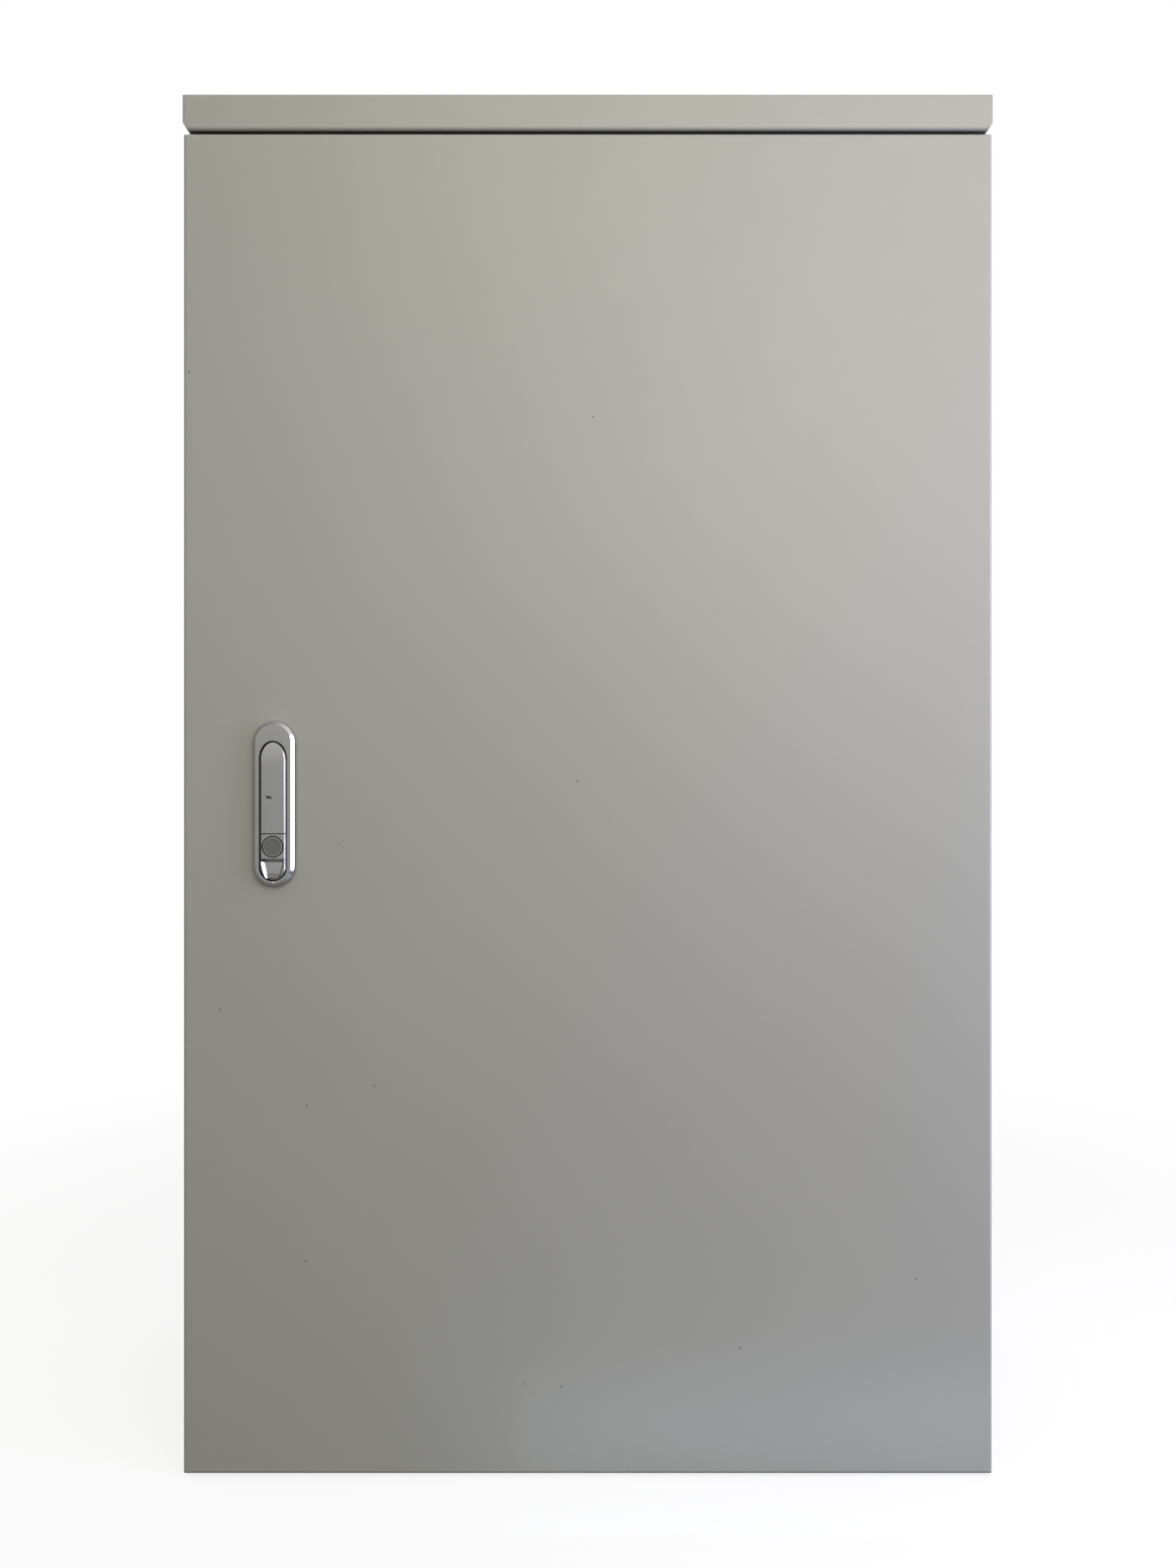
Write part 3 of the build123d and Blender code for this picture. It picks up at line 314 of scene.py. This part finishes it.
def squeezed_spring():
    """The button's leaf spring, as a copy of its own that rides on the door."""
    mesh = frame["nodes"]["button_spring"].data.copy()
    spring = add_piece("squeezed_spring", mesh, looks["black_steel"], "door")
    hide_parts("button_spring")
    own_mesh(spring)


def beads(name, places, material, body):
    """One piece of small uneven beads, each half sunk in the surface at its centre."""
    made = bmesh.new()
    for centre, radii in places:
        ball = bmesh.ops.create_icosphere(made, subdivisions=BEAD_SPLITS, radius=1.0)
        for vert in ball["verts"]:
            swell = 1 + BEAD_UNEVEN * noise.noise(BEAD_WAVES * vert.co + BEAD_SHIFT * centre)
            vert.co = centre + swell * vert.co * radii
    mesh = mesh_of(name, made)
    mesh.shade_smooth()
    add_piece(name, mesh, material, body)


def prism(made, outline, y0, y1):
    """A closed prism between two depths; the outline is in X and Z."""
    near = [made.verts.new((x, y0, z)) for x, z in outline]
    far = [made.verts.new((x, y1, z)) for x, z in outline]
    made.faces.new(near)
    made.faces.new(reversed(far))
    for i in range(len(outline)):
        made.faces.new((near[i - 1], near[i], far[i], far[i - 1])[::-1])


def slotted_head(made, x, y, z, radius):
    """A slotted screw head that stands forward of the face at y: a disc with two half discs on it."""
    turns = [2 * pi * i / HEAD_STEPS for i in range(HEAD_STEPS)]
    step = y - HEAD_T + HEAD_SLOT_D
    prism(made, [(x + radius * cos(t), z + radius * sin(t)) for t in turns], step, y)
    start = asin(HEAD_SLOT_W / 2)
    arc = [start + (pi - 2 * start) * i / HEAD_STEPS for i in range(HEAD_STEPS + 1)]
    for way in (1, -1):
        outline = [(x + way * radius * cos(t), z + way * radius * sin(t)) for t in arc]
        prism(made, outline, y - HEAD_T, step)


def terminal_screws():
    """Screw heads in the breakers' terminal recesses."""
    made = bmesh.new()
    for name, (rise, depth, radius) in TERMINALS.items():
        low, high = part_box(name)
        middle = (low + high) / 2
        pitch = (high.x - low.x) / POLES
        for pole in range(POLES):
            for end in (-1, 1):
                x = low.x + (pole + 0.5) * pitch
                slotted_head(made, x, high.y - depth, middle.z + end * rise, radius)
    bmesh.ops.recalc_face_normals(made, faces=made.faces[:])
    mesh = mesh_of("terminal_screws", made)
    add_piece("terminal_screws", mesh, looks["bar_screw"], "cabinet")


def aimed(thing, place, aim):
    """The lamp or camera, put in its place and turned to what it looks at."""
    thing.location = place
    thing.rotation_euler = (aim - place).to_track_quat("-Z", "Y").to_euler()
    bpy.context.scene.collection.objects.link(thing)
    return thing


def soft_lamp(name, place, aim, size, power, colour):
    """A rectangular lamp that the camera doesn't see."""
    lamp = bpy.data.lights.new(name, "AREA")
    lamp.shape = "RECTANGLE"
    lamp.size, lamp.size_y = size
    lamp.energy = power
    lamp.color = colour
    aimed(bpy.data.objects.new(name, lamp), Vector(place), Vector(aim)).visible_camera = False


def studio_world():
    """Even fill light that looks white to the camera, and darker on the left and below in reflections."""
    world = bpy.data.worlds.new("studio")
    bpy.context.scene.world = world
    world.use_nodes = True
    tree = world.node_tree
    tree.nodes.clear()
    path = node(tree, "ShaderNodeLightPath", {}, {})
    way = node(tree, "ShaderNodeTexCoord", {}, {}).outputs["Generated"]
    way = node(tree, "ShaderNodeSeparateXYZ", {}, {"Vector": way})
    across = eased(tree, way.outputs["X"], *SIDE_SPAN, DARK_SIDE, 1.0)
    upward = eased(tree, way.outputs["Z"], *LOW_SPAN, DARK_LOW, 1.0)
    downward = eased(tree, way.outputs["Z"], *DOWN_SPAN, DARK_FLOOR, 1.0)
    mirrored = maths(tree, "MULTIPLY", across, maths(tree, "MULTIPLY", upward, downward))
    bright = maths(tree, "MAXIMUM", path.outputs["Is Camera Ray"], mirrored)
    seen = node(tree, "ShaderNodeBackground", {}, {"Color": opaque(WHITE), "Strength": bright})
    fill = node(tree, "ShaderNodeBackground", {}, {"Color": opaque(FILL_COLOUR), "Strength": FILL})
    sharp = maths(tree, "MAXIMUM", path.outputs["Is Camera Ray"], path.outputs["Is Glossy Ray"])
    sharp = maths(tree, "MAXIMUM", sharp, path.outputs["Is Transmission Ray"])
    light = mixed(tree, sharp, fill.outputs["Background"], seen.outputs["Background"])
    node(tree, "ShaderNodeOutputWorld", {}, {"Surface": light})


def studio_floor():
    """A pale floor that keeps the box's shadow and fades into the white behind it."""
    half = FLOOR_SIZE / 2
    corners = [(-half, -half, 0), (half, -half, 0), (half, half, 0), (-half, half, 0)]
    mesh = bpy.data.meshes.new("floor")
    mesh.from_pydata(corners, [], [(0, 1, 2, 3)])
    floor = bpy.data.objects.new("floor", mesh)
    floor.location.z = cad_low.z
    bpy.context.scene.collection.objects.link(floor)
    floor.visible_glossy = False

    material = bpy.data.materials.new("floor")
    material.use_nodes = True
    tree = material.node_tree
    tree.nodes.clear()
    place = node(tree, "ShaderNodeTexCoord", {}, {}).outputs["Object"]
    away = node(tree, "ShaderNodeVectorMath", {"operation": "LENGTH"}, {0: place}).outputs["Value"]
    shade = eased(tree, away, FLOOR_NEAR, FLOOR_FAR, FLOOR_SHADE, 0.0)
    glow = node(tree, "ShaderNodeEmission", {}, {"Color": opaque(WHITE), "Strength": 1.0})
    pale = node(tree, "ShaderNodeBsdfDiffuse", {}, {"Color": opaque(FLOOR_PALE)})
    dark = node(tree, "ShaderNodeBsdfDiffuse", {}, {"Color": opaque(FLOOR_DARK)})
    seen = mixed(tree, shade, glow.outputs["Emission"], pale.outputs["BSDF"])
    by_camera = node(tree, "ShaderNodeLightPath", {}, {}).outputs["Is Camera Ray"]
    look = mixed(tree, by_camera, dark.outputs["BSDF"], seen)
    node(tree, "ShaderNodeOutputMaterial", {}, {"Surface": look})
    mesh.materials.append(material)


looks = {
    # the paint's colour darkens in gaps, under the hood and around the lock's foot: painted shade
    "painted_steel": surface(
        "powder_coat", (0.335, 0.331, 0.303), vary=0.03, mottle=5,
        rough=(0.34, 0.44), relief=(650, 0.00005), crevice_shade=(0.007, 0.65),
    ),
    "zinc_steel": surface(
        "zinc_plate", (0.52, 0.53, 0.55), vary=0.12, mottle=40,
        rough=(0.28, 0.45), relief=(900, 0.00002), metallic=1.0,
    ),
    # the lock's colour darkens in its gaps, grooves and round the barrel: painted shade
    "lock_zinc": surface(
        "satin_chrome", (0.59, 0.585, 0.57), vary=0.05, mottle=60,
        rough=(0.17, 0.23), relief=(2500, 0.000004), metallic=1.0, crevice_shade=(0.004, 0.9),
    ),
    "lock_matt": surface(
        "matt_nickel", (0.17, 0.17, 0.163), vary=0.08, mottle=90,
        rough=(0.5, 0.62), relief=(2500, 0.00001), metallic=0.6,
    ),
    "black_steel": surface(
        "black_oxide", (0.02, 0.02, 0.022), vary=0.2, mottle=90,
        rough=(0.4, 0.55), relief=(2500, 0.00001), metallic=0.3,
    ),
    "foam": surface(
        "foam_rubber", (0.035, 0.035, 0.037), vary=0.35, mottle=120,
        rough=(0.85, 0.98), relief=(1800, 0.0002),
    ),
    "breaker_case": surface(
        "moulded_grey", (0.62, 0.62, 0.59), vary=0.03, mottle=20,
        rough=(0.42, 0.55), relief=(2200, 0.00002),
    ),
    "toggle_black": surface(
        "moulded_black", (0.02, 0.02, 0.022), vary=0.15, mottle=60,
        rough=(0.35, 0.5), relief=(2200, 0.00002),
    ),
    "bar_brass": surface(
        "brass", (0.70, 0.50, 0.20), vary=0.10, mottle=50,
        rough=(0.22, 0.42), relief=(600, 0.00001), metallic=1.0, stretch=BRUSHED,
    ),
    "bar_screw": surface(
        "screw_steel", (0.55, 0.55, 0.54), vary=0.12, mottle=120,
        rough=(0.25, 0.4), relief=(1500, 0.00001), metallic=1.0,
    ),
    "insulator": surface(
        "insulator", (0.05, 0.11, 0.40), vary=0.12, mottle=80,
        rough=(0.4, 0.55), relief=(1500, 0.00003),
    ),
}
for part in frame["record"]["subparts"]:
    frame["nodes"][part["node"]].material_slots[0].material = looks[part["material_slot"]]

speck = surface(
    "paint_speck", (0.035, 0.033, 0.03), vary=0.3, mottle=400,
    rough=(0.5, 0.7), relief=(3000, 0.00002),
)
nib = surface(
    "paint_nib", (0.27, 0.267, 0.243), vary=0.1, mottle=300,
    rough=(0.4, 0.5), relief=(650, 0.00005),
)
chip = surface(
    "worn_chip", (0.03, 0.03, 0.03), vary=0.4, mottle=900,
    rough=(0.6, 0.8), relief=(4000, 0.00002),
)
specks = [(on_front(pixel, door_y), SPECK_RADII) for pixel in PAINT_SPECKS]
nibs = [(on_front(pixel, door_y), NIB_RADII) for pixel in PAINT_NIBS]
chips = [(on_front(pixel, handle_y), CHIP_RADII) for pixel in HANDLE_CHIP]
nubs = [(on_front(RIM_NUB, rim_y), NUB_RADII)]
beads("paint_specks", specks, speck, "door")
beads("paint_nibs", nibs, nib, "door")
beads("handle_chip", chips, chip, "handle")
beads("rim_nub", nubs, looks["lock_zinc"], "door")
terminal_screws()
cut_hood()
squeezed_spring()

for name, settings in LAMPS.items():
    soft_lamp(name, *settings)
studio_world()
studio_floor()

lens = bpy.data.cameras.new("camera")
lens.sensor_width = SENSOR
lens.lens = SENSOR * px_per_m * CAMERA_D / PHOTO_H
eye = on_front((PHOTO_W / 2, PHOTO_H / 2), outline_y)
eye.y -= CAMERA_D
bpy.context.scene.camera = aimed(bpy.data.objects.new("camera", lens), eye, eye + Vector((0, 1, 0)))
bpy.context.scene.view_settings.view_transform = "Standard"
